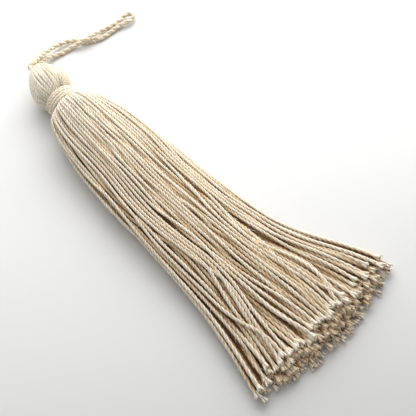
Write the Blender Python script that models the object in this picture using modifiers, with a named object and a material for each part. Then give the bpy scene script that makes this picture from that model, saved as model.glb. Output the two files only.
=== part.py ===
"""A cotton tassel lying on a flat surface, in metres, with +Z up.

The tassel lies along +X, with its folded end (the head) at -X and its cut ends (the skirt) at +X. The
origin is on the surface, at the middle of the bundle's footprint. Three pieces make it: the yarn bundle,
the binding round its neck, and the twisted cord of the hanging loop. The bundle is a loft with one ring of
points at each station along the yarn. Its main locks are ridges, and towards the cut ends they part into
the teeth of a comb.
"""

import math

import bmesh
import bpy
import numpy as np

MM = 0.001
NAME = "cotton_tassel"

# Driving dimensions, in millimetres. Stations and routes are measured from the middle of the neck.
NECK_AT = (-51.45, -5.6)  # where the middle of the neck stands, so that the origin is under the bundle
NECK_HEIGHT = 7.0
SKIRT_LENGTH = 120.0  # from the middle of the neck to the cut ends
GAP = 0.3  # clearance between pieces that touch

# The bundle
LOCKS = 36  # main locks of yarn round the bundle
POINTS_PER_LOCK = 3
COMB_START = 90.0  # from here on the locks part from each other
COMB_STATIONS = 6
NOTCH_DEPTH = 5.0  # how far the gaps between locks reach back from the ends, on average
NOTCH_SPREAD = 3.0  # how much more or less than that a gap may reach
NOTCH_WIDTH = 0.9  # how deep a gap cuts into the side of the bundle, near the ends
TOP_SETBACK = 6.0  # yarns on top bend over the others, so they end short of those below
UNEVEN_ENDS = 1.6  # how much the locks differ in length
UNEVEN_STEPS = (2.4, 1.1)  # radians from one lock to the next, in the two waves that set the lengths
UNEVEN_START = 0.7
NOTCH_STEP = 4.1  # radians from one lock to the next, in the wave that sets how far a gap reaches
ARC_STATION = 118.0  # where the width is read that sets how far the line of cut ends curves
GROOVED_ABOVE = -0.45  # grooves start at this sine of the angle up the side, as the underside lies flat
GROOVED_WITHIN = 0.35  # and reach their full depth this much higher
SHARP_ANGLE = math.radians(50)  # edges sharper than this stay sharp under smooth shading

# One row for each station of the bundle, all in millimetres but the last. x runs along the tassel, mid is
# the middle of the section across it, half is half its width, low and high are its underside and top,
# ridge is the depth of the grooves between locks, and flat is how far the underside is flattened.
SECTION_COLUMNS = ("x", "mid", "half", "low", "high", "ridge", "flat")
SECTIONS = (
    (-17.8, 1.9, 1.2, 6.9, 9.1, 0.00, 1.0),
    (-17.0, 1.9, 2.5, 5.4, 10.2, 0.10, 1.0),
    (-15.2, 1.8, 4.1, 3.5, 11.7, 0.25, 1.0),
    (-12.7, 1.6, 5.8, 1.5, 13.0, 0.35, 1.1),
    (-10.2, 1.3, 6.8, 0.3, 13.9, 0.40, 1.2),
    (-7.8, 1.1, 7.2, 0.0, 14.2, 0.40, 1.3),
    (-5.6, 0.8, 7.0, 0.0, 14.0, 0.40, 1.2),
    (-3.8, 0.5, 6.1, 0.9, 13.1, 0.30, 1.1),
    (-2.6, 0.2, 5.1, 1.9, 12.1, 0.10, 1.0),
    (-1.9, 0.0, 4.5, 2.5, 11.5, 0.00, 1.0),
    (1.9, 0.0, 4.5, 2.5, 11.5, 0.00, 1.0),
    (2.9, 0.0, 5.9, 1.2, 12.9, 0.20, 1.0),
    (4.6, 0.0, 8.2, 0.3, 14.4, 0.40, 1.0),
    (7.5, 0.0, 10.2, 0.0, 15.2, 0.50, 1.1),
    (12.0, 0.1, 11.9, 0.0, 15.0, 0.55, 1.3),
    (18.0, 0.2, 13.3, 0.0, 14.3, 0.60, 1.5),
    (26.0, 0.2, 14.4, 0.0, 13.2, 0.60, 1.6),
    (36.0, 0.0, 15.2, 0.0, 12.0, 0.60, 1.6),
    (48.0, -0.3, 15.8, 0.0, 11.0, 0.65, 1.6),
    (60.0, -0.1, 16.5, 0.0, 10.3, 0.65, 1.6),
    (72.0, 0.4, 17.6, 0.0, 9.6, 0.70, 1.6),
    (82.0, 1.2, 19.3, 0.0, 9.0, 0.75, 1.6),
    (90.0, 2.2, 21.6, 0.0, 8.4, 0.80, 1.6),
    (100.0, 3.7, 25.4, 0.0, 7.5, 0.85, 1.6),
    (110.0, 4.9, 29.0, 0.0, 6.5, 0.85, 1.6),
    (122.0, 5.8, 32.2, 0.0, 5.6, 0.85, 1.6),
)

# The binding
BINDING_TURNS = 3
BINDING_INSIDE = 4.5 + GAP
TURN_PITCH = 1.2
TURN_BULGE = 1.0  # how far a turn stands out from the neck
TURN_ARC = 75  # degrees of a turn's outside to each side of its middle
POINTS_PER_TURN = 5
BINDING_SEGMENTS = 40
MERGE = 0.00001  # metres

# The hanging loop: route points of the cord's centre from the head's pole round the eye and back, in
# millimetres (x along the tassel and y across it, from the neck, and z above the surface).
CORD = 1.75
CORD_POINTS = 72
CORD_ROUNDING = 2  # Blender's bevel resolution: 12 sides round the cord
LOOP_ROUTE = (
    (-19.1, 1.0, 8.6),
    (-19.4, 2.4, 8.5),
    (-20.8, 4.4, 7.6),
    (-22.4, 6.9, 6.2),
    (-24.0, 9.9, 4.5),
    (-25.4, 13.1, 2.9),
    (-26.0, 16.3, 2.0),
    (-25.9, 18.7, 1.6),
    (-25.4, 20.8, 1.4),
    (-24.6, 22.7, 1.2),
    (-23.6, 24.1, 1.0),
    (-21.9, 25.6, 0.95),
    (-20.3, 27.3, 0.95),
    (-19.5, 28.8, 0.95),
    (-18.8, 30.4, 0.95),
    (-18.4, 32.3, 0.95),
    (-18.4, 34.4, 0.95),
    (-18.4, 37.1, 1.0),
    (-18.4, 39.3, 1.2),
    (-18.1, 41.0, 1.4),
    (-17.6, 42.4, 1.7),
    (-17.2, 44.2, 1.7),
    (-17.5, 45.8, 1.7),
    (-18.5, 46.8, 1.7),
    (-19.7, 46.6, 1.7),
    (-20.4, 45.5, 1.7),
    (-20.4, 43.8, 1.6),
    (-20.1, 41.9, 1.4),
    (-20.1, 40.3, 1.2),
    (-20.4, 38.6, 1.1),
    (-20.7, 36.4, 1.1),
    (-20.9, 34.3, 1.3),
    (-20.7, 32.1, 1.8),
    (-20.4, 29.7, 2.6),
    (-20.1, 27.4, 2.9),
    (-20.2, 25.9, 2.95),
    (-20.6, 24.7, 2.6),
    (-21.2, 23.6, 2.0),
    (-21.9, 22.2, 1.4),
    (-22.4, 20.4, 1.1),
    (-22.6, 18.5, 0.95),
    (-22.8, 16.5, 0.95),
    (-23.2, 14.3, 1.1),
    (-23.4, 12.1, 1.7),
    (-23.1, 9.7, 2.8),
    (-22.3, 7.5, 4.0),
    (-21.2, 5.6, 5.1),
    (-19.2, 3.8, 6.3),
)

COTTON = {"Base Color": (0.78, 0.70, 0.58, 1.0), "Roughness": 0.9, "Metallic": 0.0}
COTTON_CORD = {"Base Color": (0.80, 0.71, 0.56, 1.0), "Roughness": 0.85, "Metallic": 0.0}


def clear_scene():
    for obj in list(bpy.data.objects):
        bpy.data.objects.remove(obj, do_unlink=True)


def new_collection(name):
    made = bpy.data.collections.new(name)
    bpy.context.scene.collection.children.link(made)
    return made


def new_material(name, settings):
    made = bpy.data.materials.new(name)
    made.use_nodes = True
    shader = made.node_tree.nodes["Principled BSDF"]
    for socket, value in settings.items():
        shader.inputs[socket].default_value = value
    return made


def smooth_between(knots, values, at):
    """Reads a smooth curve through the knots, with slopes taken from each knot's neighbours."""
    knots = np.asarray(knots, float)
    values = np.asarray(values, float)
    slopes = np.gradient(values, knots, axis=0)
    at = np.clip(at, knots[0], knots[-1])
    left = np.clip(np.searchsorted(knots, at, side="right") - 1, 0, len(knots) - 2)
    span = knots[left + 1] - knots[left]
    t = (at - knots[left]) / span
    if values.ndim > 1:
        span, t = span[:, None], t[:, None]
    start, end = values[left], values[left + 1]
    rise_at_start, rise_at_end = slopes[left] * span, slopes[left + 1] * span
    return (
        (2 * t**3 - 3 * t**2 + 1) * start
        + (t**3 - 2 * t**2 + t) * rise_at_start
        + (3 * t**2 - 2 * t**3) * end
        + (t**3 - t**2) * rise_at_end
    )


def section_at(column, x):
    """One column of the section table, read at the stations x."""
    knots = [row[0] for row in SECTIONS]
    values = [row[SECTION_COLUMNS.index(column)] for row in SECTIONS]
    return smooth_between(knots, values, x)


def ring_points(x, turn, valley):
    """The points of one ring, at a station x for each point of the ring.

    turn is each point's angle round the yarn, from the +Y side over the top. valley is 1 on a groove
    between two locks, and 0 on a lock.
    """
    low, high = section_at("low", x), section_at("high", x)
    half, middle = section_at("half", x), section_at("mid", x)
    height = (low + high) / 2
    across = np.cos(turn)
    up = np.sin(turn)
    flattened = np.clip(up * section_at("flat", x), -1, None)
    rise = np.where(up > 0, up, flattened) * (high - low) / 2
    reach = np.hypot(half * across, rise)
    grooved = np.clip((up - GROOVED_ABOVE) / GROOVED_WITHIN, 0, 1)
    pulled_in = 1 - valley * grooved * section_at("ridge", x) / np.maximum(reach, 1.0)
    return np.stack([x, middle + half * across * pulled_in, height + rise * pulled_in], axis=1)


def cut_ends(turn, valley, lock):
    """The station at which the yarn ends, for each point of the ring."""
    across = section_at("half", np.full(len(turn), ARC_STATION)) * np.cos(turn)
    arc = np.sqrt(SKIRT_LENGTH**2 - across**2)
    on_top = np.clip(np.sin(turn), 0, 1)
    first, second = (lock * step for step in UNEVEN_STEPS)
    uneven = UNEVEN_ENDS * np.sin(first + UNEVEN_START) * np.cos(second)
    notch = NOTCH_DEPTH + NOTCH_SPREAD * np.sin(lock * NOTCH_STEP)
    return arc - TOP_SETBACK * on_top - notch * valley + uneven


def bundle_rings():
    """All rings of the bundle, from the head's pole to the cut ends."""
    count = LOCKS * POINTS_PER_LOCK
    index = np.arange(count)
    turn = 2 * math.pi * index / count
    valley = (index % POINTS_PER_LOCK == 0).astype(float)
    from_side = np.minimum(index, count - index)  # the same lock above and below has the same number
    lock = from_side // POINTS_PER_LOCK
    rings = []
    for row in SECTIONS:
        if row[0] < COMB_START:
            rings.append(ring_points(np.full(count, row[0]), turn, valley))
    ends = cut_ends(turn, valley, lock)
    for part in np.linspace(0, 1, COMB_STATIONS):
        x = COMB_START + (ends - COMB_START) * part
        points = ring_points(x, turn, valley)
        parted = valley * part * NOTCH_WIDTH
        points[:, 2] -= parted * np.sign(np.sin(turn)).clip(0, 1)
        rings.append(points)
    return rings


def yarn_bundle(collection, material):
    rings = bundle_rings()
    count = len(rings[0])
    mesh = bmesh.new()
    levels = [[mesh.verts.new(to_place(point)) for point in ring] for ring in rings]
    for lower, upper in zip(levels, levels[1:]):
        for i in range(count):
            j = (i + 1) % count
            mesh.faces.new((lower[i], upper[i], upper[j], lower[j]))
    mesh.faces.new(levels[0])
    last = levels[-1]
    # The cut ends: each point on top is joined to the one below it, so every lock has its own end face.
    for i in range(count // 2):
        above, below = (i, i + 1), (count - i - 1, (count - i) % count)
        corners = [last[k] for k in (*above, *below)]
        mesh.faces.new(list(dict.fromkeys(corners)))
    bmesh.ops.triangulate(mesh, faces=mesh.faces)
    bmesh.ops.recalc_face_normals(mesh, faces=mesh.faces)
    return finished("yarn_bundle", mesh, collection, material)


def binding_profile():
    """The binding's section, as (distance from the axis, place along it), outside first and then inside."""
    radius = TURN_PITCH / 2
    profile = []
    for turn in range(BINDING_TURNS):
        middle = ((BINDING_TURNS - 1) / 2 - turn) * TURN_PITCH
        for angle in np.radians(np.linspace(TURN_ARC, -TURN_ARC, POINTS_PER_TURN)):
            out = BINDING_INSIDE + TURN_BULGE * math.cos(angle)
            profile.append((out, middle + radius * math.sin(angle)))
    half = BINDING_TURNS * radius
    return profile + [(BINDING_INSIDE, -half), (BINDING_INSIDE, half)]


def neck_binding(collection, material):
    profile = binding_profile()
    mesh = bpy.data.meshes.new("neck_binding")
    points = [(r * MM, 0, z * MM) for r, z in profile]
    edges = [(i, (i + 1) % len(points)) for i in range(len(points))]
    mesh.from_pydata(points, edges, [])
    obj = bpy.data.objects.new("neck_binding", mesh)
    collection.objects.link(obj)
    obj.location = to_place((0, 0, NECK_HEIGHT))
    obj.rotation_euler = (0, math.pi / 2, 0)
    screw = obj.modifiers.new("turned", "SCREW")
    screw.axis = "Z"
    screw.steps = BINDING_SEGMENTS
    screw.render_steps = BINDING_SEGMENTS
    screw.use_merge_vertices = True
    screw.merge_threshold = MERGE
    screw.use_smooth_shade = True
    mesh.materials.append(material)
    return obj


def hanging_loop(collection, material):
    route = np.array(LOOP_ROUTE)
    steps = np.linalg.norm(np.diff(route, axis=0), axis=1)
    along = np.concatenate([[0], np.cumsum(steps)])
    points = smooth_between(along, route, np.linspace(0, along[-1], CORD_POINTS))
    curve = bpy.data.curves.new("hanging_loop", "CURVE")
    curve.dimensions = "3D"
    curve.bevel_depth = CORD / 2 * MM
    curve.bevel_resolution = CORD_ROUNDING
    curve.use_fill_caps = True
    spline = curve.splines.new("POLY")
    spline.points.add(len(points) - 1)
    for target, point in zip(spline.points, points):
        target.co = (*to_place(point), 1)
    spline.use_smooth = True
    curve.materials.append(material)
    obj = bpy.data.objects.new("hanging_loop", curve)
    collection.objects.link(obj)
    return obj


def to_place(point):
    """Metres in the part's frame, from millimetres measured from the middle of the neck."""
    x, y, z = point
    return ((x + NECK_AT[0]) * MM, (y + NECK_AT[1]) * MM, z * MM)


def finished(name, mesh, collection, material):
    data = bpy.data.meshes.new(name)
    mesh.to_mesh(data)
    mesh.free()
    data.materials.append(material)
    data.shade_smooth()
    data.set_sharp_from_angle(angle=SHARP_ANGLE)
    obj = bpy.data.objects.new(name, data)
    collection.objects.link(obj)
    return obj


def main():
    clear_scene()
    collection = new_collection(NAME)
    yarn = new_material("cotton_yarn", COTTON)
    cord = new_material("cotton_cord", COTTON_CORD)
    yarn_bundle(collection, yarn)
    neck_binding(collection, yarn)
    hanging_loop(collection, cord)


main()
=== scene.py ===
"""A cotton tassel: a hank of plied yarn folded over its hanging loop, bound at the neck, with a cut skirt.

All yarn is worked out in millimetres from the middle of the neck: x along the tassel towards its cut ends,
y across it, and z above the surface it lies on. in_frame() turns such points into the frame's metres. A
station is a place along x, and turns round the tassel or a yarn are in radians.
"""

import math
from types import SimpleNamespace

import bpy
import numpy as np
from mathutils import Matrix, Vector


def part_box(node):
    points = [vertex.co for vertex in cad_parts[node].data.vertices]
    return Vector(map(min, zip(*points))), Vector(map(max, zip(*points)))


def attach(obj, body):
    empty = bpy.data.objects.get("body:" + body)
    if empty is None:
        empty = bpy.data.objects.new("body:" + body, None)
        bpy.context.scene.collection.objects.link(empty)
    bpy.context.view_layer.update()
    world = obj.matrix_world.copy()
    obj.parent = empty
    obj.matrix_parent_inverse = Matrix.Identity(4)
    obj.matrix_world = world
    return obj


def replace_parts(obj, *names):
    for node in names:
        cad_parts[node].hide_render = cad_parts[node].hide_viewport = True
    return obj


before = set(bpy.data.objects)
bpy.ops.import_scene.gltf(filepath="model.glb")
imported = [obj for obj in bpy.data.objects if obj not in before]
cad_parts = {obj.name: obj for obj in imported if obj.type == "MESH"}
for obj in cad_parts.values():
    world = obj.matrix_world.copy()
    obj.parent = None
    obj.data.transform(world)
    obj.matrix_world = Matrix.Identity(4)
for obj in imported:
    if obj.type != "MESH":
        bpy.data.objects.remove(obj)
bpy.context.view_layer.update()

MM = 0.001
NECK = [(a + b) / 2 for a, b in zip(*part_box("neck_binding"))]
SEED = 11
FULL_TURN = 2 * math.pi
ANY_PHASE = 6.3  # a wave or a twist may start anywhere in it
UPWARD = np.array([[0.0, 1.0]])
TINY = 1e-9  # keeps divisors from being nothing

# -------- the tassel's form, in millimetres

NECK_HEIGHT = 7.0
SKIRT_LENGTH = 120.0

# The bundle's outline, one row a station: its middle across, half its width, its underside and its top, and
# how far the underside is flattened.
OUTLINE_COLUMNS = ("mid", "half", "low", "high", "flat")
OUTLINE = (
    (-17.8, 1.9, 1.2, 6.9, 9.1, 1.0),
    (-17.0, 1.9, 2.5, 5.4, 10.2, 1.0),
    (-15.2, 1.8, 4.1, 3.5, 11.7, 1.0),
    (-12.7, 1.6, 5.8, 1.5, 13.0, 1.1),
    (-10.2, 1.3, 6.8, 0.3, 13.9, 1.2),
    (-7.8, 1.1, 7.2, 0.0, 14.2, 1.3),
    (-5.6, 0.8, 7.0, 0.0, 14.0, 1.2),
    (-3.8, 0.5, 6.1, 0.9, 13.1, 1.1),
    (-1.9, 0.0, 4.5, 2.5, 11.5, 1.0),
    (1.9, 0.0, 4.5, 2.5, 11.5, 1.0),
    (2.9, 0.0, 5.9, 1.2, 12.9, 1.0),
    (4.6, 0.0, 8.2, 0.3, 14.4, 1.0),
    (7.5, 0.0, 10.2, 0.0, 15.2, 1.1),
    (12.0, 0.1, 11.9, 0.0, 15.0, 1.3),
    (18.0, 0.2, 13.3, 0.0, 14.3, 1.5),
    (26.0, 0.2, 14.4, 0.0, 13.2, 1.6),
    (36.0, 0.0, 15.2, 0.0, 12.0, 1.6),
    (48.0, -0.3, 15.8, 0.0, 11.0, 1.6),
    (60.0, -0.1, 16.5, 0.0, 10.3, 1.6),
    (72.0, 0.4, 17.6, 0.0, 9.6, 1.6),
    (82.0, 1.2, 19.3, 0.0, 9.0, 1.6),
    (90.0, 2.2, 21.6, 0.0, 8.4, 1.6),
    (100.0, 3.7, 25.4, 0.0, 7.5, 1.6),
    (110.0, 4.9, 29.0, 0.0, 6.5, 1.6),
    (124.0, 6.0, 32.8, 0.0, 5.6, 1.6),
)

# -------- the yarns, in millimetres

YARNS = 196  # yarn ends in the skirt
PLIES = 3
PLY_PITCH = 3.9  # length in which a ply goes once round
PITCHES = (0.88, 1.12)  # the shortest and the longest pitch of a yarn, as shares of that
SLACKER = ((60, 110), (1, 0.6))  # stations, and how much of the twist is left there
UNTWISTED = 8.0  # how far from the cut a yarn has loosened as well
LOOSENED = 0.5  # share of the twist that is gone at the cut
GROOVE = 0.33  # depth of the grooves between plies, as a share of the yarn's radius
SLUB = 0.06  # how much a yarn's thickness varies along it
SLUB_WAVES = (1.2, 2.6)  # its wave's length for one radian

# How thick a yarn is at stations along the skirt: the binding squeezes it, and near its end it untwists.
THICKNESS_AT = (-2.0, 2.5, 6.0, 12.0, 40.0, 70.0, 100.0, 118.0, 124.0)
THICKNESS = (0.62, 0.70, 0.94, 1.04, 1.03, 1.09, 1.26, 1.40, 1.45)
PRESSED = (0.55, 0.60, 0.82, 0.98, 1.03, 1.06, 1.13, 1.20, 1.23)  # and how far apart others are kept
YARN_SPREAD = (0.93, 1.06)  # the thinnest and the thickest yarn, as shares of both

# -------- how the yarns lie, in millimetres

FIRST_STATION = -2.0
LAST_STATION = 124.0
STATION = 1.0  # spacing of the stations at which yarns press on each other

EVEN_AT = 56.0  # station where the yarns are spread evenly over the section
FULLNESS = 0.9  # share of a box round a section that the section fills
SPREAD_ROUNDS = 320
SPREAD_REACH = (1.5, 0.45)  # the first reach of their push, in spacings, and how much of it goes
SPREAD_WITHIN = 250  # rounds in which it goes
SPREAD_PUSH = 0.4
WIDEST = 0.999  # share of half the width: at 1 a section has no height

HELD_TO = 4.0  # station up to which the binding holds the yarns in place
FREE_FROM = 46.0  # and the one from which they are free

# Stations where the yarns gather into locks, each time other ones, and how many locks there are.
LOCKS_AT = (-2.0, 18.0, 46.0, 74.0, 100.0, 124.0)
LOCKS = 40
LOCK_PULL = (0.05, 0.6)  # least and most that a lock draws its yarns together, as a share
LOCK_SCALE = (1.0, 1.6)  # locks are flatter than they are wide
LOCK_ROUNDS = 4

# Where the top yarns part: first and last station, how far to the side there as a share of half the width,
# and how far the yarns beside it are moved.
PARTINGS = (
    (22, 31, -0.74, -0.78, 0.6),
    (27, 43, -0.55, -0.58, 0.7),
    (33, 52, -0.76, -0.77, 1.1),
    (40, 60, 0.50, 0.41, 0.8),
    (42, 69, -0.53, -0.38, 0.4),
    (52, 68, 0.39, 0.40, 0.9),
    (62, 74, -0.63, -0.62, 0.5),
    (62, 78, -0.13, -0.08, 1.1),
    (75, 116, -0.77, -0.84, 1.4),
    (76, 112, 0.42, 0.36, 1.2),
    (80, 98, -0.26, -0.47, 0.5),
    (83, 102, -0.11, -0.28, 1.5),
    (86, 104, 0.20, 0.08, 1.2),
    (94, 118, 0.75, 0.73, 1.0),
    (101, 114, -0.05, -0.08, 1.3),
    (101, 112, 0.10, 0.12, 1.0),
)
PARTING_REACH = 3.0  # how far to each side of a parting the yarns make room for it
PARTING_DEPTH = 0.8  # how far those below it sink, as a share of its width

# The yarns' shared drift: its size, and its usual wave across and along. Then each yarn's own wander: its
# size, and its shortest and longest wave.
DRIFT_ACROSS = (1.5, 10.0, 46.0)
DRIFT_UP = (0.4, 9.0, 50.0)
WANDER = (0.20, 18.0, 40.0)
END_WANDER = (0.25, 22.0, 40.0)  # added near the cut ends
WANDER_HELD = 0.3  # share of the wander that the binding leaves
LEVELS_DIFFER = 1.5  # how much faster it changes upward than across
WANDERS = (0.7, 1.6)  # its shortest and longest wave, as shares
LOOSE_ENDS = (90.0, 120.0)  # stations between which END_WANDER grows

CROSSINGS = 10  # top yarns that cross others
CROSSING_LEVEL = 0.62  # share of the height above which a yarn is a top one
CROSSINGS_AT = (24, 104)
CROSSING_LENGTH = (12, 22)
CROSSING_ASIDE = (1.0, 2.4)
CROSSING_LIFT = 0.9
CROSSING_LIFTED = 1.2  # length of the lift, as a share of the crossing's
CROSSINGS_GROW = 20  # length past HELD_TO in which crossings reach their full size

ROUNDS = 160  # rounds of settling
SETTLING_FROM = 0.75  # share of the rounds in which yarns are drawn back to their bends
DRAWN_BACK = 0.03  # how far each round does that
SMOOTHED = (0.7, 0.5)  # how far each round straightens bends, before and after that
PAIRS_EVERY = 8  # rounds between two searches for neighbours
PAIRS_REACH = 1.5  # how far apart those are, in thicknesses
PUSHES = 2  # times that neighbours are pushed apart in a round
FIRM = ((2, 12), (0.15, 0.9))  # stations, and how far yarns push each other away there
SLACK = 0.45  # how far yarns may stand out of the outline
STIFF_EVERY = 3  # rounds between two that take out longer bends
STIFF_REACH = 4  # stations to each side that such a bend takes up
STIFF = ((15, 50, 95), (0.02, 0.25, 0.5))  # stations, and how far it is taken out there
STIFF_LAST = 2  # rounds that only take them out
EASING = 3  # rounds of smoothing after that
EASED = 0.9  # how far each of them straightens bends

SHELL = 3.0  # depth of the layers that single yarns make: further in is one solid
CORE_PUSH = 0.15  # how fast settling moves yarns out of the middle
CORE_FASTEST = 0.5  # it is fastest within this share of the way out
CORE_SMALLEST = (1, 0.3)  # least half width and half height of the middle that is kept free
CORE_HELD = ((4, 14, 72, 112), (0, 1, 1, 0))  # stations, and how free the middle is kept there

WAYS = 12  # directions round a yarn in which other yarns may shut it in
OPEN_WAYS = 4  # the fewest of them that let light reach it fully
SHADE_WIDTH = 1.15  # how far to the side of a way a yarn still shuts it, in thicknesses
SHADE_NEAR = 0.1  # how near and how far along it, in thicknesses
SHADE_FAR = 3.5
CORE_SHUTS = 1.5  # how much the middle of the bundle shuts the ways towards it
UNDECIDED = 0.01  # a slight lean upward, for yarns that are shut in all round

# -------- cut ends and pieces, in millimetres

TOP_SETBACK = 6.0  # yarns on top end short of those below
SETBACK_CURVE = 1.3  # more than 1 leaves the shortening to the highest ones
UNEVEN_ENDS = 1.8
LIT_END = 3.0  # light reaches this far in from the cut ends
END_SHADE_SHARE = (1.2, 0.25)  # painted shade: how shut in a yarn looks away from its end and at it, as a share
NECK_SHUT = ((8, 50), (0.2, 1))  # stations, and the share of the painted shade there: near the neck no gaps are open to look into
INNER_SIDE_SHADE = 1.65  # painted shade: how much darker the side towards the middle is
INNER_SIDE_SHADES = ((8, 50, 112), (0.4, 1, 1.3))  # stations, and the share of that there
INNER_SHADE_CURVE = 2.5  # more than 1 keeps the painted shade to the innermost side

SKIRT_PIECES = 6
EXPOSED_STATIONS = slice(8, 120)  # where it counts how open a yarn lies,
MOST_OPEN = 30  # in this many of its most open stations
DETAILED = 0.68  # share of the yarns that show their plies: the others lie too deep
BURIED_FROM = 80.0  # station from where those others are single ones, outside the solid further in
STEP, BURIED_STEP = 0.45, 1.2  # length of a yarn between two rings of its mesh
SIDES, BURIED_SIDES = 9, 6

TUFT = 4  # strands that a cut yarn opens into
TUFT_LENGTH = 2.0
TUFT_RINGS = 6
TUFT_OPENS = (0.09, 0.24)
TUFT_CURVE = 1.4
TUFT_SPREAD = 0.25  # how far out of place one may lie, in strands
TUFT_TIPS = (-0.2, 0.4)  # how far past the cut it may end
TUFT_ROOT = 0.45  # how far from the yarn's middle it starts, in its radii
TUFT_ASTRAY = 0.05
TUFT_THICK = (0.8, 1.1)
# Painted light: how much paler open tufts are made, by a random share of this.
TUFT_PAINTED_LIGHT = 0.5
TUFT_UNDERSIDE_SHADE = 0.4  # painted shade: how much darker its underside is
TUFT_SIDES = 6
TUFT_RADII = (0.40, 0.52, 0.54, 0.55, 0.56, 0.54)  # from its root to its cut, as shares of the yarn's
TUFT_SHADE_SHARE = 0.45  # share of the yarn's cover that it has, painted as shade
FIBRES = 2  # loose fibres on each strand
FIBRE_RADII = (0.09, 0.08, 0.06, 0.02)
FIBRE_LENGTH = (0.3, 0.9)
FIBRE_LEAN = 0.3
FIBRE_ASTRAY = (0.35, 0.2)  # how far it heads another way, and how far it bends
HAIRS = 40  # loose fibres along each yarn that shows
HAIRY = 0.6  # a yarn shows if it is less shut in than this
HAIR_LEAN = 1.3  # how far round the yarn from its open side they stand
HAIR_LENGTH = (0.4, 1.3)
HAIR_ROOT = 0.9  # how far from the yarn's middle they start, in its radii
HAIR_RISE = (0.1, 0.7)
HAIR_ASTRAY = 0.25
HAIR_TONES = (-1, 0)
HAIR_RADII = (0.055, 0.03)
LOWEST_FIBRE = 0.06  # height above the surface

CORE_START = 1.0
CORE_END = 102.0
CORE_RINGS = 50
CORE_RIDGES = 76
CORE_RIDGE = 0.5
CORE_DEPTH = 2.0
# Stations, and what is added to CORE_DEPTH there.
CORE_INSET = ((CORE_START, 8, 40, 85, CORE_END), (-0.9, -0.1, 0.2, 0.9, 2.2))
# Painted shade: how shut in the solid further in looks.
CORE_SHADE = 1.0
CORE_LOWEST = 0.3
CUT_MIDDLE_SHADE = 0.5  # painted shade: how dark the middle of a cut is, in grooves

HEAD_YARNS = 60
HEAD_LAYERS = ((HEAD_YARNS, 0.0), (HEAD_YARNS - 8, 0.85))  # yarns in each layer, and how far in it lies
HEAD_FROM, HEAD_TO = -0.5, -17.9
HEAD_RADII = ((-18, -16.5, -12, -6, -2), (0.22, 0.36, 0.58, 0.58, 0.36))  # stations, and a yarn's radius
HEAD_INSET = ((-18, -16, -4, -2), (0.2, 1, 1, 0.6))  # stations, and the share of the layer's depth there
HEAD_NARROWEST = 0.25
HEAD_SWAY = 0.05
HEAD_SWAYS = (2.2, 4.0)  # its wave's length for one radian
HEAD_PLACING = 0.06  # how far out of place one may lie, in yarns
HEAD_PITCHES = (0.9, 1.1)
HEAD_TONES = (0, 0.4)
HEAD_CORE = (-17.0, 0.0)  # where the solid inside the head starts and ends, how far in it lies, and how shut in it looks, as painted shade
HEAD_CORE_DEPTH = 1.0  # how far in it lies,
HEAD_CORE_SHADE = 0.5  # and how shut in it looks
HEAD_GROOVE = 0.3 * GROOVE
HEAD_LIT_SIDE_SHADE = 2.4  # painted shade: how much darker and more yellow its right side, towards the window, is made against that light
HEAD_MOST_LIT_TURN = 0.6  # turn at which that painted shade is strongest
# Painted shade on each layer further in among the head's yarns.
HEAD_LAYER_SHADE = 0.08

BINDING_TURNS = 4
BINDING_RADIUS = 5.3
BINDING_PITCH = 0.92
BINDING_YARN = 1.0
BINDING_START = -1.1  # turn at which it starts
BINDING_TUCK = 0.12  # share of a turn in which each end goes in
BINDING_TUCKED = 1.3
BINDING_UNEVEN = 0.12
BINDING_GROOVE = 0.4 * GROOVE
BINDING_TONE = 1.0
# Painted shade: how much darker the binding's side towards the neck is.
BINDING_INNER_SHADE = 0.4

CORD_PITCH = 5.4
CORD_STRAND = 0.60  # radius of each of its two strands,
CORD_OFFSET = 0.34  # and how far that lies from the cord's middle
CORD_TONE = 2.9
CORD_TONES = 0.4  # how far the two strands differ from it
CORD_GROOVE = 0.10
CORD_FASTER = 2.2  # turns of a strand's own twist in one of the cord
INTO_HEAD = (2.2, -0.4, -0.3)  # how the first end goes on inside the head
LAST_INTO_HEAD = (2.2, -1.0, -0.3)
LOOP_ROUTE = (
    (-19.1, 1.0, 8.6), (-19.4, 2.4, 8.5), (-20.8, 4.4, 7.6), (-22.4, 6.9, 6.2),
    (-24.0, 9.9, 4.5), (-25.4, 13.1, 2.9), (-26.0, 16.3, 2.0), (-25.9, 18.7, 1.6),
    (-25.4, 20.8, 1.4), (-24.6, 22.7, 1.2), (-23.6, 24.1, 1.0), (-21.9, 25.6, 0.95),
    (-20.3, 27.3, 0.95), (-19.5, 28.8, 0.95), (-18.8, 30.4, 0.95), (-18.4, 32.3, 0.95),
    (-18.4, 34.4, 0.95), (-18.4, 37.1, 1.0), (-18.4, 39.3, 1.2), (-18.1, 41.0, 1.4),
    (-17.6, 42.4, 1.7), (-17.2, 44.2, 1.7), (-17.5, 45.8, 1.7), (-18.5, 46.8, 1.7),
    (-19.7, 46.6, 1.7), (-20.4, 45.5, 1.7), (-20.4, 43.8, 1.6), (-20.1, 41.9, 1.4),
    (-20.1, 40.3, 1.2), (-20.4, 38.6, 1.1), (-20.7, 36.4, 1.1), (-20.9, 34.3, 1.3),
    (-20.7, 32.1, 1.8), (-20.4, 29.7, 2.6), (-20.1, 27.4, 2.9), (-20.2, 25.9, 2.95),
    (-20.6, 24.7, 2.6), (-21.2, 23.6, 2.0), (-21.9, 22.2, 1.4), (-22.4, 20.4, 1.1),
    (-22.6, 18.5, 0.95), (-22.8, 16.5, 0.95), (-23.2, 14.3, 1.1), (-23.4, 12.1, 1.7),
    (-23.1, 9.7, 2.8), (-22.3, 7.5, 4.0), (-21.2, 5.6, 5.1), (-19.2, 3.8, 6.3),
)

# -------- colours, camera and light

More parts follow.
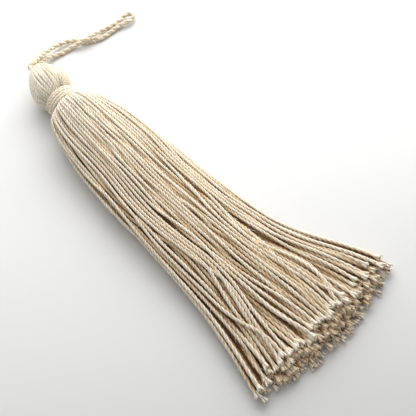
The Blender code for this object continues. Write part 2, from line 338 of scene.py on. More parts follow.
YARN_COLOURS = ((0.925, 0.86, 0.74), (0.58, 0.485, 0.345))  # lightest and darkest
CORD_COLOURS = ((0.93, 0.865, 0.745), (0.62, 0.51, 0.36))
COTTON_SURFACE = {
    "Roughness": 0.92,
    "Sheen Weight": 0.15,
    "Sheen Roughness": 0.5,
    "Specular IOR Level": 0.15,
    "Subsurface Weight": 0.3,
    "Subsurface Radius": (1.0, 0.85, 0.7),
    "Subsurface Scale": 0.0006,
}
FIBRE_NOISE = {"Scale": 6.0, "Detail": 3.0}
FIBRE_BUMP = {"Strength": 0.5, "Distance": 0.00006}
SPOT_NOISE = {"Scale": 1.1, "Detail": 2.0}
SHADES = (2.4, 2.0, 0.2, 1.0)  # how much fibres, spots, the yarn's tone and its grooves darken it; the grooves' part is painted shade
SHADE_FROM = -2.25
STRETCHED = (0.3, 0.3, 0.5)  # the fibres' noise, round a yarn and along it
WIND_STEP = 37  # keeps yarns of different tones from reading the same noise
PAINTED_DEPTH_SHADE = ((0.0, (1, 1, 1)), (0.4, (0.87, 0.75, 0.60)), (1.0, (0.37, 0.22, 0.11)))  # painted shade: colours that darken a yarn, from open (0) to shut in by others (1)

CAMERA_PLACE = (162.476, -88.39, 225.83)  # millimetres from the neck
CAMERA_LENS = 28  # degrees
CAMERA_DOWN = 58  # degrees below level
CAMERA_HEADING = 46.19
CAMERA_NEAREST = 0.01  # metres

FLOOR_SIZE = 3.0  # metres from its middle to each side
FLOOR_SHADE_FADES = (3.0, -1.6, 0)  # painted shade: the backdrop changes tone along this direction, by this much a metre, from this place among FLOOR_SHADE_TONES at the frame's origin
FLOOR_AT_ORIGIN = 0.35  # from this place among FLOOR_SHADE_TONES at the frame's origin
# Painted shade on the backdrop: its grey along that direction, falling off as the window's light would.
FLOOR_SHADE_TONES = ((0.0, 0.71), (0.20, 0.71), (0.36, 0.73), (0.50, 0.70), (0.62, 0.64), (1.0, 0.48))
FLOOR_BLUE = 0.988  # share of the other colours
FLOOR_SURFACE = {"Roughness": 0.8, "Specular IOR Level": 0.2}

# Name, place, point that it faces, size, all in metres, and watts.
SOFTBOXES = (
    ("window", (-0.18, 0.21, 0.165), (0, 0, 0), 0.38, 1.98),
    ("ceiling", (-0.14, -0.02, 0.25), (-0.12, 0, 0), 0.30, 0.30),
)
SKY = 0.41


# -------- small helpers


def in_frame(points):
    """Metres in the frame, from millimetres measured from the neck."""
    return np.asarray(points, float) * MM + np.array([NECK[0], NECK[1], 0.0])


def unit(directions):
    """The directions, the last axis, at length 1."""
    return directions / np.maximum(np.linalg.norm(directions, axis=-1, keepdims=True), TINY)


def lengths(path):
    """The length along the path at each of its points."""
    return np.concatenate([[0], np.cumsum(np.linalg.norm(np.diff(path, axis=0), axis=1))])


def smooth_between(knots, values, at):
    """Reads a smooth curve through the knots, with slopes taken from each knot's neighbours."""
    knots = np.asarray(knots, float)
    values = np.asarray(values, float)
    slopes = np.gradient(values, knots, axis=0)
    at = np.clip(at, knots[0], knots[-1])
    left = np.clip(np.searchsorted(knots, at, side="right") - 1, 0, len(knots) - 2)
    span = knots[left + 1] - knots[left]
    t = (at - knots[left]) / span
    extra = (1,) * (values.ndim - 1)
    span, t = span.reshape(-1, *extra), t.reshape(-1, *extra)
    start, end = values[left], values[left + 1]
    rise_at_start, rise_at_end = slopes[left] * span, slopes[left + 1] * span
    return (
        (2 * t**3 - 3 * t**2 + 1) * start
        + (t**3 - 2 * t**2 + t) * rise_at_start
        + (3 * t**2 - 2 * t**3) * end
        + (t**3 - t**2) * rise_at_end
    )


def outline_at(x):
    """The outline's columns at the stations x, with the height of its middle and its rise above that."""
    knots = [row[0] for row in OUTLINE]
    values = np.array([row[1:] for row in OUTLINE])
    read = smooth_between(knots, values, np.atleast_1d(x))
    outline = SimpleNamespace(**dict(zip(OUTLINE_COLUMNS, read.T)))
    outline.height = (outline.low + outline.high) / 2
    outline.rise = (outline.high - outline.low) / 2
    return outline


def outline_columns(x):
    """The outline at the stations x, for arrays with a row for each station."""
    return SimpleNamespace(**{title: values[:, None] for title, values in vars(outline_at(x)).items()})


def on_outline(outline, turn, inset):
    """Points on the outline, drawn in by inset, at the angles turn: (across, up)."""
    up = np.sin(turn)
    flattened = np.clip(up * outline.flat, -1, None)
    rise = np.where(up > 0, up, flattened) * (outline.rise - inset)
    across = np.cos(turn) * (outline.half - inset)
    return outline.mid + across, outline.height + rise


# -------- meshes


def linked(name, data):
    """A new object in the scene."""
    obj = bpy.data.objects.new(name, data)
    bpy.context.scene.collection.objects.link(obj)
    return obj


class Strands:
    """Collects tubes, so that many of them become one mesh."""

    def __init__(self):
        self.points, self.quads, self.triangles = [], [], []
        self.shades = {"groove": [], "tone": [], "wind": [], "deep": []}
        self.count = 0

    def tube(
        self, path, radius, around, lobes=0, phase=0.0, depth=0.0, tone=0.5,
        cover=None, outward=None, inner=0.0,
    ):
        """A closed tube along path, with around sides. Its lobes wind round it by phase, an angle for each
        path point, and the grooves between them are the share depth of its radius deep.

        cover says how shut in it is at each point, painted as shade, outward which way is out, and inner how
        much painted shade darkens its inner side.
        """
        rings = len(path)
        radius = np.broadcast_to(radius, (rings,))
        phase = np.broadcast_to(phase, (rings,))
        side, up, along = directions(path)
        angle = FULL_TURN * np.arange(around) / around
        shape = np.ones(around)
        if lobes:
            shape = 1 - depth * (1 - np.abs(np.sin(lobes * angle / 2)))
        turned = angle + phase[:, None]
        reach = radius[:, None] * shape
        ring = path[:, None] + reach[..., None] * (
            np.cos(turned)[..., None] * side[:, None] + np.sin(turned)[..., None] * up[:, None]
        )
        deep = np.zeros((rings, around))
        # Painted shade: darker where other yarns shut it in, and on its side turned towards the middle.
        if cover is not None:
            facing = (ring - path[:, None]) / reach[..., None]
            turned_in = np.clip(0.5 - 0.5 * (facing[..., 1:] * outward[:, None]).sum(axis=-1), 0, 1)
            deep = cover[:, None] + inner * turned_in**INNER_SHADE_CURVE
        length = lengths(path)
        groove = (1 - shape) / depth if lobes else np.zeros(around)
        self.add_rings(ring, path[[0, -1]], length, groove, deep, tone)

    def add_rings(self, ring, middles, length, groove, deep, tone):
        """A closed solid through rings of points, with a point in the middle of its first and last one."""
        rings, around = ring.shape[:2]
        angle = FULL_TURN * np.arange(around) / around
        first = self.count
        self.points.append(ring.reshape(-1, 3))
        index = first + np.arange(rings * around).reshape(rings, around)
        onward = np.roll(index, -1, axis=1)
        quads = np.stack([index[:-1], onward[:-1], onward[1:], index[1:]], axis=-1)
        self.quads.append(quads.reshape(-1, 4))
        self.points.append(middles)
        low = np.full(around, first + rings * around)
        self.triangles.append(np.stack([onward[0], index[0], low], axis=-1))
        self.triangles.append(np.stack([index[-1], onward[-1], low + 1], axis=-1))
        self.shades["deep"].append(np.append(deep.ravel(), [deep[0].mean(), deep[-1].mean()]))
        groove = np.broadcast_to(groove, (rings, around))
        wind = np.stack(np.broadcast_arrays(np.cos(angle), np.sin(angle), length[:, None]), axis=-1)
        self.shades["groove"].append(np.append(groove.ravel(), [CUT_MIDDLE_SHADE, CUT_MIDDLE_SHADE]))
        self.shades["tone"].append(np.full(rings * around + 2, tone))
        wind = np.concatenate([wind.reshape(-1, 3), [[0, 0, length[0]], [0, 0, length[-1]]]])
        self.shades["wind"].append(wind + [tone * WIND_STEP, 0, 0])
        self.count += rings * around + 2

    def build(self, name, material, slot="cotton_yarn"):
        """The collected tubes as one object, which rides on the part."""
        quads, triangles = np.concatenate(self.quads), np.concatenate(self.triangles)
        corners = np.concatenate([quads.ravel(), triangles.ravel()]).astype(np.int32)
        starts = np.concatenate([4 * np.arange(len(quads)), 4 * len(quads) + 3 * np.arange(len(triangles))])
        mesh = bpy.data.meshes.new(name)
        mesh.vertices.add(self.count)
        mesh.vertices.foreach_set("co", in_frame(np.concatenate(self.points)).astype(np.float32).ravel())
        mesh.loops.add(len(corners))
        mesh.loops.foreach_set("vertex_index", corners)
        mesh.polygons.add(len(starts))
        mesh.polygons.foreach_set("loop_start", starts.astype(np.int32))
        mesh.update(calc_edges=True)
        mesh.shade_smooth()
        for title, parts in self.shades.items():
            values = np.concatenate(parts).astype(np.float32)
            kind, field = ("FLOAT_VECTOR", "vector") if values.ndim > 1 else ("FLOAT", "value")
            mesh.attributes.new(title, kind, "POINT").data.foreach_set(field, values.ravel())
        mesh.materials.append(material)
        obj = linked(name, mesh)
        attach(obj, "root")
        return obj


def directions(path):
    """Two directions across a path at each of its points, which don't twist round it, and its own."""
    along = unit(np.gradient(path, axis=0))
    side = np.empty_like(path)
    first = np.cross(along[0], [0.0, 0.0, 1.0])
    if np.linalg.norm(first) < 0.1:  # the path starts nearly upright
        first = np.cross(along[0], [0.0, 1.0, 0.0])
    side[0] = first / np.linalg.norm(first)
    for i in range(1, len(path)):
        carried = side[i - 1] - along[i] * (side[i - 1] @ along[i])
        side[i] = carried / np.linalg.norm(carried)
    return side, np.cross(side, along), along


def evenly(path, step):
    """The path's points again, a step apart, and the length at each."""
    length = lengths(path)
    count = max(int(round(length[-1] / step)), 2)
    at = np.linspace(0, length[-1], count + 1)
    return smooth_between(length, path, at), at


# -------- how the yarns lie


def nearby_pairs(places, reach):
    """Pairs of yarns within reach of each other at the same station, as two lists of point numbers."""
    yarns = places.shape[1]
    gap = places[:, :, None] - places[:, None, :]
    close = np.triu((gap**2).sum(axis=-1) < reach**2, 1)
    station, first, second = np.nonzero(close)
    return station * yarns + first, station * yarns + second


def push_apart(places, thick, pairs, share):
    """Moves yarns that overlap away from each other."""
    flat = places.reshape(-1, 2)
    first, second = pairs
    gap = flat[first] - flat[second]
    distance = np.maximum(np.sqrt((gap**2).sum(axis=1)), TINY)
    overlap = np.maximum(thick[first] - distance, 0)
    shift = gap * (overlap / distance / 2)[:, None]
    moved = np.zeros_like(flat)
    hits = np.zeros(len(flat))
    for sign, who in ((1, first), (-1, second)):
        for axis in (0, 1):
            moved[:, axis] += sign * np.bincount(who, shift[:, axis], len(flat))
        hits += np.bincount(who, overlap > 0, len(flat))
    eased = moved * (np.minimum(hits, 2) / np.maximum(hits, 1))[:, None]
    return (flat + share * eased).reshape(places.shape)


def keep_inside(places, outline, thick, slack):
    """Brings yarns back to the outline that stand out of it by more than slack, and up to the surface."""
    radius = thick / 2
    rise = outline.rise - radius + slack
    half = outline.half - radius + slack
    across = (places[..., 0] - outline.mid) / half
    up = (places[..., 1] - outline.height) / rise
    up = np.where(up < 0, up / outline.flat, up)
    draw = 1 / np.maximum(np.sqrt(across**2 + up**2), 1)
    up = np.where(up < 0, up * draw * outline.flat, up * draw)
    up = np.maximum(outline.height + up * rise, outline.low + radius)
    return np.stack([outline.mid + across * draw * half, up], axis=-1)


def keep_out_of_core(places, outline, held):
    """Moves yarns out towards the outer layers, to leave the middle to the inner yarns' own solid."""
    half = np.maximum(outline.half - SHELL, CORE_SMALLEST[0]) * held
    rise = np.maximum(outline.rise - SHELL, CORE_SMALLEST[1]) * held
    across = places[..., 0] - outline.mid
    up = places[..., 1] - outline.height
    out_across = across / np.maximum(half, TINY)
    out_up = up / np.maximum(rise, TINY)
    out = np.sqrt(out_across**2 + out_up**2)
    further = np.where(out < 1, 1 / np.maximum(out, CORE_FASTEST) - 1, 0) * CORE_PUSH
    return places + np.stack([across * further, up * further], axis=-1)


def spread_evenly(outline, rng):
    """An even spread of yarns over one section: (side, level), each a share of the section there."""
    side = rng.uniform(-1, 1, 4 * YARNS)
    side = side[rng.uniform(0, 1, len(side)) ** 2 < 1 - side**2][:YARNS]  # fewer towards the thin sides
    spot = np.stack(on_levels(outline, side, rng.uniform(0, 1, YARNS), 0.0), axis=-1)[None]
    area = 2 * outline.half[0] * (outline.high - outline.low)[0] * FULLNESS
    spacing = math.sqrt(area / YARNS * 2 / math.sqrt(3))
    widest, narrower = SPREAD_REACH
    for step in range(SPREAD_ROUNDS):
        reach = spacing * (widest - narrower * min(step / SPREAD_WITHIN, 1))
        spot = push_apart(spot, np.full(YARNS, reach), nearby_pairs(spot, reach), SPREAD_PUSH)
        spot = keep_inside(spot, outline, np.zeros((1, YARNS)), 0.0)
    side = (spot[0, :, 0] - outline.mid) / outline.half
    side = np.clip(side, -WIDEST, WIDEST)
    low, high = levels_at(outline, side, 0.0)
    return side, np.clip((spot[0, :, 1] - low) / (high - low), 0, 1)


def levels_at(outline, side, inset):
    """Underside and top of the section, drawn in by inset, at the places side across it."""
    arch = np.sqrt(1 - side**2)
    rise = outline.rise - inset
    underside = outline.height - rise * np.minimum(arch * outline.flat, 1)
    return underside, outline.height + rise * arch


def on_levels(outline, side, level, inset):
    """Points in the section, drawn in by inset, from shares side across it and level up it: (across, up)."""
    low, high = levels_at(outline, side, inset)
    return outline.mid + side * (outline.half - inset), low + level * (high - low)


def first_places(x, thick, rng):
    """Spreads the yarns over the middle of the skirt and carries them along its outline both ways."""
    side, level = spread_evenly(outline_at(EVEN_AT), rng)
    return np.stack(on_levels(outline_columns(x), side[None], level[None], thick / 2), axis=-1)


def lock_shifts(x, places, rng):
    """How far each yarn is drawn towards the middle of the lock that it belongs to, at each station."""
    shifts = []
    for at in LOCKS_AT:
        spot = places[np.argmin(np.abs(x - at))]
        middles = spot[rng.choice(YARNS, LOCKS, replace=False)]
        for _ in range(LOCK_ROUNDS):
            owner = (((spot[:, None] - middles[None]) * LOCK_SCALE) ** 2).sum(axis=-1).argmin(axis=1)
            for lock in range(LOCKS):
                if (owner == lock).any():
                    middles[lock] = spot[owner == lock].mean(axis=0)
        pull = rng.uniform(*LOCK_PULL, LOCKS)
        shifts.append((middles[owner] - spot) * pull[owner][:, None])
    return smooth_between(LOCKS_AT, np.array(shifts), x)


def drift(x, places, rng, size, across, along, waves=9):
    """A slow wander that neighbours share: waves of about the given lengths across and along."""
    wander = np.zeros(places.shape[:2])
    for _ in range(waves):
        phase = rng.uniform(0, FULL_TURN)
        turn = rng.uniform(0, math.pi)
        wave = FULL_TURN / (across * rng.uniform(*WANDERS))
        wander += np.sin(
            wave * (math.cos(turn) * places[..., 0] + LEVELS_DIFFER * math.sin(turn) * places[..., 1])
            + FULL_TURN / (along * rng.uniform(*WANDERS)) * x[:, None] * rng.choice([-1, 1])
            + phase
        )
    return size * wander / math.sqrt(waves / 2)


def wobble(x, rng, size, shortest, longest, waves=5):
    """A small wander of each yarn on its own, in both directions."""
    total = np.zeros((len(x), YARNS, 2))
    for _ in range(waves):
        length = rng.uniform(shortest, longest, (1, YARNS, 2))
        phase = rng.uniform(0, FULL_TURN, (1, YARNS, 2))
        total += np.sin(FULL_TURN * x[:, None, None] / length + phase)
    return size * total / math.sqrt(waves / 2)


def crossings(x, places, outline, rng):
    """Some of the top yarns cross over those beside them: how far each is moved across and up."""
    total = np.zeros(places.shape)
    level = places[..., 1] / outline.high
    upper = np.nonzero(np.median(level, axis=0) > CROSSING_LEVEL)[0]
    for yarn in rng.choice(upper, CROSSINGS, replace=False):
        at = rng.uniform(*CROSSINGS_AT)
        over = rng.uniform(*CROSSING_LENGTH)
        aside = rng.choice([-1, 1]) * rng.uniform(*CROSSING_ASIDE)
        grown = np.clip((x - HELD_TO) / CROSSINGS_GROW, 0, 1)
        total[:, yarn, 0] += aside * (0.5 + 0.5 * np.tanh((x - at) / over)) * grown
        total[:, yarn, 1] += CROSSING_LIFT * np.exp(-(((x - at) / (CROSSING_LIFTED * over)) ** 2))
    return total


def partings(x, places, outline):
    """How far each yarn is moved where the top yarns part: aside, and down below the parting."""
    total = np.zeros(places.shape)
    level = (places[..., 1] - outline.low) / (outline.high - outline.low)
    upper = np.clip(3 * level - 1, 0, 1)  # the highest third fully, the lowest not at all
    for first, last, side_first, side_last, width in PARTINGS:
        along = np.clip((x[:, None] - first) / (last - first), 0, 1)
        middle = outline.mid + outline.half * (side_first + (side_last - side_first) * along)
        opened = width * np.sin(math.pi * along)
        aside = places[..., 0] - middle
        total[..., 0] += upper * opened * np.sign(aside) * np.exp(-np.abs(aside) / PARTING_REACH)
        total[..., 1] -= PARTING_DEPTH * upper * opened * np.exp(-(aside**2))
    return total


def smoothed(places, share, reach=1):
    """Takes the sharpest bends out of every yarn: those within reach stations to each side."""
    eased = places.copy()
    across = (places[: -2 * reach] + places[2 * reach :]) / 2
    eased[reach:-reach] += share * (across - places[reach:-reach])
    return eased


def skirt_places():
    """Where each yarn lies at each station: (stations, yarns, across and up)."""
    rng = np.random.default_rng(SEED)
    x = np.arange(FIRST_STATION, LAST_STATION + 0.5 * STATION, STATION)
    outline = outline_columns(x)
    thick = np.interp(x, THICKNESS_AT, THICKNESS)[:, None] * rng.uniform(*YARN_SPREAD, (1, YARNS))
    first = first_places(x, thick, rng)
    free = np.clip((x - HELD_TO) / (FREE_FROM - HELD_TO), 0, 1)[:, None, None]
    at_ends = np.clip((x - LOOSE_ENDS[0]) / (LOOSE_ENDS[1] - LOOSE_ENDS[0]), 0, 1)[:, None, None]
    target = first + free * lock_shifts(x, first, rng)
    target[..., 0] += free[..., 0] * drift(x, first, rng, *DRIFT_ACROSS)
    target[..., 1] += free[..., 0] * drift(x, first, rng, *DRIFT_UP)
    target += (WANDER_HELD + free) * wobble(x, rng, *WANDER)
    target += at_ends * wobble(x, rng, *END_WANDER)
    target += crossings(x, first, outline, rng)
    target += partings(x, first, outline)
    shift = settled(x, first, target - first, thick, outline)
    places = first + shift
    places[..., 1] = np.maximum(places[..., 1], thick / 2)
    return x, places, thick, rng


def settled(x, first, bend, thick, outline):
    """How far each yarn ends up from its first place: bent as asked, but pressed against the others."""
    pressed = thick * (np.interp(x, THICKNESS_AT, PRESSED) / np.interp(x, THICKNESS_AT, THICKNESS))[:, None]
    firm = np.interp(x, *FIRM)[:, None].repeat(YARNS, axis=1).ravel()[:, None]
    stiff = np.interp(x, *STIFF)[STIFF_REACH:-STIFF_REACH, None, None]
    held = np.interp(x, *CORE_HELD)[:, None]
    shift = bend.copy()
    for step in range(ROUNDS):
        settling = step > SETTLING_FROM * ROUNDS
        if not settling:
            shift += DRAWN_BACK * (bend - shift)
        shift = smoothed(shift, SMOOTHED[settling])
        if step % STIFF_EVERY == 0:
            shift = smoothed(shift, stiff, STIFF_REACH)
        places = first + shift
        if step % PAIRS_EVERY == 0:
            pairs = nearby_pairs(places, PAIRS_REACH * pressed.max())
        places = keep_out_of_core(places, outline, held)
        for _ in range(PUSHES):
            places = push_apart(places, pressed.ravel(), pairs, firm)
        shift = keep_inside(places, outline, pressed, SLACK) - first
    for _ in range(EASING):
        shift = smoothed(shift, EASED)
    for _ in range(STIFF_LAST):
        shift = smoothed(shift, stiff, STIFF_REACH)
    return shift


def covered(places, thick, outline):
    """How shut in each yarn is at each station, from 0 in the open to 1, and which way is the most open."""
    across = (outline.mid - places[..., 0]) / outline.half ** 2
    up = (outline.height - places[..., 1]) / outline.rise ** 2
    to_core = unit(np.stack([across, up], axis=-1))
    turn = FULL_TURN * np.arange(WAYS) / WAYS
    ways = np.stack([np.cos(turn), np.sin(turn)], axis=-1)
    shut = np.zeros(places.shape[:2])
    outward = np.zeros(places.shape)
    for k in range(len(places)):
        gap = (places[k][None] - places[k][:, None]) / thick[k][:, None, None]
        ahead = gap @ ways.T
        aside = np.abs(gap[..., :1] * ways[:, 1] - gap[..., 1:] * ways[:, 0])
        shade = np.clip(SHADE_WIDTH - aside, 0, 1) * np.clip(ahead - SHADE_NEAR, 0, 1)
        shade *= np.clip(SHADE_FAR - ahead, 0, 1)
        in_way = np.minimum(shade.sum(axis=1) + np.clip(CORE_SHUTS * to_core[k] @ ways.T, 0, 1), 1)
        shut[k] = np.sort(in_way, axis=1)[:, :OPEN_WAYS].mean(axis=1)
        outward[k] = (1 + UNDECIDED - in_way) @ ways
        outward[k, :, 1] += UNDECIDED
    return shut, unit(outward)


def cut_reaches(x, places, rng):
    """How far from the neck each yarn is cut. Those on top are bent over the rest, so they end short."""
    last = np.argmin(np.abs(x - SKIRT_LENGTH))
    outline = outline_at(x[last])
    level = (places[last, :, 1] - outline.low) / (outline.high - outline.low)
    setback = TOP_SETBACK * np.clip(level, 0, 1) ** SETBACK_CURVE
    return SKIRT_LENGTH - setback + rng.uniform(-1, 1, YARNS) * UNEVEN_ENDS


# -------- the pieces


def skirt(material):
    """The skirt's yarns, with their cut ends."""
    x, places, thick, rng = skirt_places()
    reaches = cut_reaches(x, places, rng)
    cover, outward = covered(places, thick, outline_columns(x))
    shut_in = np.sort(cover[EXPOSED_STATIONS], axis=0)[:MOST_OPEN].mean(axis=0)
    buried = np.argsort(np.argsort(shut_in)) > DETAILED * YARNS
    cover *= np.interp(x, *NECK_SHUT)[:, None]
    middle = len(x) // 2
    outline = outline_at(x[middle])
    across, up = places[middle].T
    turn = np.arctan2(up - outline.height, across - outline.mid)
    ends, fuzz = Strands(), Strands()
    for number, group in enumerate(np.array_split(np.argsort(turn), SKIRT_PIECES), 1):
        strands = Strands()
        for yarn in group:
            hidden = buried[yarn]
            path, length = evenly(np.column_stack([x, places[:, yarn]]), BURIED_STEP if hidden else STEP)
            keep = np.hypot(path[:, 0], path[:, 1]) <= reaches[yarn]
            if hidden:
                keep &= path[:, 0] > BURIED_FROM
            path, length = path[keep], length[keep]
            to_end = length[-1] - length
            loosened = np.clip(1 - to_end / UNTWISTED, 0, 1)
            twist = FULL_TURN / (PLY_PITCH * rng.uniform(*PITCHES))
            slacker = np.interp(path[:, 0], *SLACKER)
            turned = np.gradient(length) * twist * (1 - LOOSENED * loosened) * slacker
            phase = rng.uniform(0, FULL_TURN) - np.cumsum(turned)
            slubs = 1 + SLUB * np.sin(length / rng.uniform(*SLUB_WAVES) + rng.uniform(0, ANY_PHASE))
            radius = np.interp(path[:, 0], x, thick[:, yarn]) / 2 * slubs
            out = np.stack([np.interp(path[:, 0], x, outward[:, yarn, axis]) for axis in (0, 1)], axis=-1)
            tone = rng.uniform(0, 1)
            around = BURIED_SIDES if hidden else SIDES
            # Painted shade: how shut in the yarn looks, less near its cut end, and its darker inner side.
            shut = np.interp(path[:, 0], x, cover[:, yarn])
            over = shut * np.clip(END_SHADE_SHARE[0] * to_end / LIT_END, END_SHADE_SHARE[1], END_SHADE_SHARE[0])
            inner = INNER_SIDE_SHADE * np.interp(path[:, 0], *INNER_SIDE_SHADES)[:, None]
            lobes = 0 if hidden else PLIES
            strands.tube(path, radius, around, lobes, phase, GROOVE, tone, over, out, inner)
            if not hidden and shut.mean() < HAIRY:
                loose_fibres(fuzz, path, out, radius, rng)
            frayed_end(ends, path, radius[-1], phase[-1], tone, TUFT_SHADE_SHARE * shut[-1], rng)
        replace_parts(strands.build(f"skirt_yarns_{number}", material), "yarn_bundle")
    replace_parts(ends.build("cut_ends", material), "yarn_bundle")
    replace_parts(fuzz.build("loose_fibres", material), "yarn_bundle")
    inner_yarns(material)


def loose_fibres(fuzz, path, out, radius, rng):
    """Short fibres that stand out of the open side of a yarn."""
    along = unit(np.gradient(path, axis=0))
    for k in rng.integers(2, len(path) - 2, HAIRS):
        outward = np.array([0.0, *out[k]])
        lean = rng.uniform(-HAIR_LEAN, HAIR_LEAN)
        off = math.cos(lean) * outward + math.sin(lean) * np.cross(along[k], outward)
        start = path[k] + HAIR_ROOT * radius[k] * off
        heading = rng.choice([-1, 1]) * along[k] + rng.uniform(*HAIR_RISE) * off
        heading += rng.normal(0, HAIR_ASTRAY, 3)
        fibre = start + heading * rng.uniform(*HAIR_LENGTH) * np.array([[0.0], [1.0]])
        fibre[:, 2] = np.maximum(fibre[:, 2], LOWEST_FIBRE)
        fuzz.tube(fibre, HAIR_RADII, 3, tone=rng.uniform(*HAIR_TONES))


def inner_yarns(material):
    """The yarns further in, as one ridged solid that stops short of the cut ends, darkened with painted
    shade.
    """
    x = np.linspace(CORE_START, CORE_END, CORE_RINGS)
    outline = outline_columns(x)
    around = 2 * CORE_RIDGES
    turn = FULL_TURN * np.arange(around) / around
    ridge = np.abs(np.sin(CORE_RIDGES * turn / 2))
    inset = CORE_DEPTH + CORE_RIDGE * (1 - ridge) + np.interp(x, *CORE_INSET)[:, None]
    across, up = on_outline(outline, turn, inset)
    stations = np.broadcast_to(x[:, None], across.shape)
    rings = np.stack([stations, across, np.maximum(up, CORE_LOWEST)], axis=-1)
    strands = Strands()
    middles = rings[[0, -1]].mean(axis=1)
    # Painted shade: the whole solid gets CORE_SHADE, and the hollows between its ridges are darker.
    strands.add_rings(rings, middles, x, 1 - ridge, np.full(across.shape, CORE_SHADE), 0.5)
    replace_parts(strands.build("inner_yarns", material), "yarn_bundle")


def frayed_end(ends, path, radius, phase, tone, shut, rng):
    """The last bit of a cut yarn: it opens like a brush into blunt strands, and fibres stand out of them."""
    tip = path[-1]
    side, up, along = (v[-1] for v in directions(path[-4:]))
    for strand in range(TUFT):
        angle = phase + FULL_TURN * (strand + rng.uniform(-TUFT_SPREAD, TUFT_SPREAD)) / TUFT
        off = math.cos(angle) * side + math.sin(angle) * up
        t = np.linspace(-TUFT_LENGTH, rng.uniform(*TUFT_TIPS), TUFT_RINGS)
        apart = rng.uniform(*TUFT_OPENS) * (t + TUFT_LENGTH) ** TUFT_CURVE
        centre = tip + along * t[:, None] + off * (TUFT_ROOT * radius + apart)[:, None]
        centre += rng.normal(0, TUFT_ASTRAY, 3) * (t + TUFT_LENGTH)[:, None]
        wide = radius * np.array(TUFT_RADII) * rng.uniform(*TUFT_THICK)
        centre[:, 2] = np.maximum(centre[:, 2], wide)
        # Painted light and shade: open tufts paler at random, shut in ones darker, their undersides darker
        # still.
        lit_tone = tone - TUFT_PAINTED_LIGHT * rng.uniform(0, 1) * (1 - shut)
        cover = np.full(TUFT_RINGS, shut)
        ends.tube(centre, wide, TUFT_SIDES, tone=lit_tone, cover=cover, outward=UPWARD, inner=TUFT_UNDERSIDE_SHADE)
        for _ in range(FIBRES):
            start = centre[rng.integers(TUFT_RINGS // 2, TUFT_RINGS)] + rng.normal(0, 0.3 * radius, 3)
            heading = along + FIBRE_LEAN * off + rng.normal(0, FIBRE_ASTRAY[0], 3)
            s = np.linspace(0, 1, len(FIBRE_RADII))[:, None]
            fibre = start + heading * rng.uniform(*FIBRE_LENGTH) * s
            fibre += rng.normal(0, FIBRE_ASTRAY[1], 3) * s**2
            fibre[:, 2] = np.maximum(fibre[:, 2], LOWEST_FIBRE)
            ends.tube(fibre, FIBRE_RADII, 3, tone=tone - 1)


def head(material):
    """Yarns from the neck up over the head to its pole."""
    rng = np.random.default_rng(SEED + 1)
    strands = Strands()
    for layer, (count, inset) in enumerate(HEAD_LAYERS):
        for index in range(count):
            turn = FULL_TURN * (index + 0.5 * layer + rng.uniform(-HEAD_PLACING, HEAD_PLACING)) / count
            x = np.linspace(HEAD_FROM, HEAD_TO, 48)
            outline = outline_at(x)
            radius = np.interp(x, *HEAD_RADII)
            sway = HEAD_SWAY * np.sin(x / rng.uniform(*HEAD_SWAYS) + rng.uniform(0, ANY_PHASE))
            inward = radius + inset * np.interp(x, *HEAD_INSET)
            inward = np.minimum(inward, outline.half - HEAD_NARROWEST)
            across, up = on_outline(outline, turn + sway, inward)
            up = np.maximum(up, radius)
            fine, length = evenly(np.column_stack([x, across, up]), 0.42)
            pitch = PLY_PITCH * rng.uniform(*HEAD_PITCHES)
            phase = rng.uniform(0, ANY_PHASE) - FULL_TURN * length / pitch
            fine_radius = np.interp(fine[:, 0], x[::-1], radius[::-1])
            section = outline_at(fine[:, 0])
            out = unit(fine[:, 1:] - np.stack([section.mid, section.height], axis=-1))
            # Painted shade: the inner layer is darker.
            over = np.full(len(fine), HEAD_LAYER_SHADE * layer)
            sides = BURIED_SIDES if layer else SIDES
            # Painted shade: the side that faces the window is darkened against its light.
            lit_side_shade = HEAD_LIT_SIDE_SHADE * max(math.cos(turn - HEAD_MOST_LIT_TURN), 0)
            tone = rng.uniform(*HEAD_TONES) + lit_side_shade
            strands.tube(fine, fine_radius, sides, PLIES, phase, HEAD_GROOVE, tone, over, out)
    x = np.linspace(*HEAD_CORE, 40)
    outline = outline_at(x)
    middle = np.stack([x, outline.mid, outline.height], axis=-1)
    within = np.minimum(outline.half, outline.rise) - HEAD_CORE_DEPTH
    # Painted shade on the solid inside the head.
    cover = np.full(len(x), HEAD_CORE_SHADE)
    strands.tube(middle, np.maximum(within, 0.3), 24, cover=cover, outward=UPWARD)
    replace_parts(strands.build("head_yarns", material), "yarn_bundle")


def binding(material):
    """One yarn wound round the neck, with its ends tucked under the turns."""
    rng = np.random.default_rng(SEED + 2)
    last = BINDING_TURNS + BINDING_TUCK
    turns = np.linspace(-BINDING_TUCK, last, 260)
    angle = FULL_TURN * turns + BINDING_START
    tucked = np.clip(np.minimum(turns + BINDING_TUCK, last - turns) / BINDING_TUCK, 0, 1)
    radius = BINDING_RADIUS - BINDING_TUCKED * (1 - tucked) + BINDING_UNEVEN * np.sin(1.7 * angle + 1)
    x = (turns - BINDING_TURNS / 2) * BINDING_PITCH + BINDING_UNEVEN * np.sin(angle * 0.9 + 2)
    path = np.column_stack([x, radius * np.cos(angle), NECK_HEIGHT + radius * np.sin(angle)])
    fine, length = evenly(path, 0.4)
    out = unit(fine[:, 1:] - np.array([0, NECK_HEIGHT]))
    phase = -FULL_TURN * length / PLY_PITCH
    cover = np.zeros(len(fine))
    radius = BINDING_YARN / 2
    strands = Strands()
    # Painted shade on its side towards the neck.
    strands.tube(fine, radius, 12, PLIES, phase, BINDING_GROOVE, BINDING_TONE, cover, out, BINDING_INNER_SHADE)
    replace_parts(strands.build("binding_yarn", material), "neck_binding")


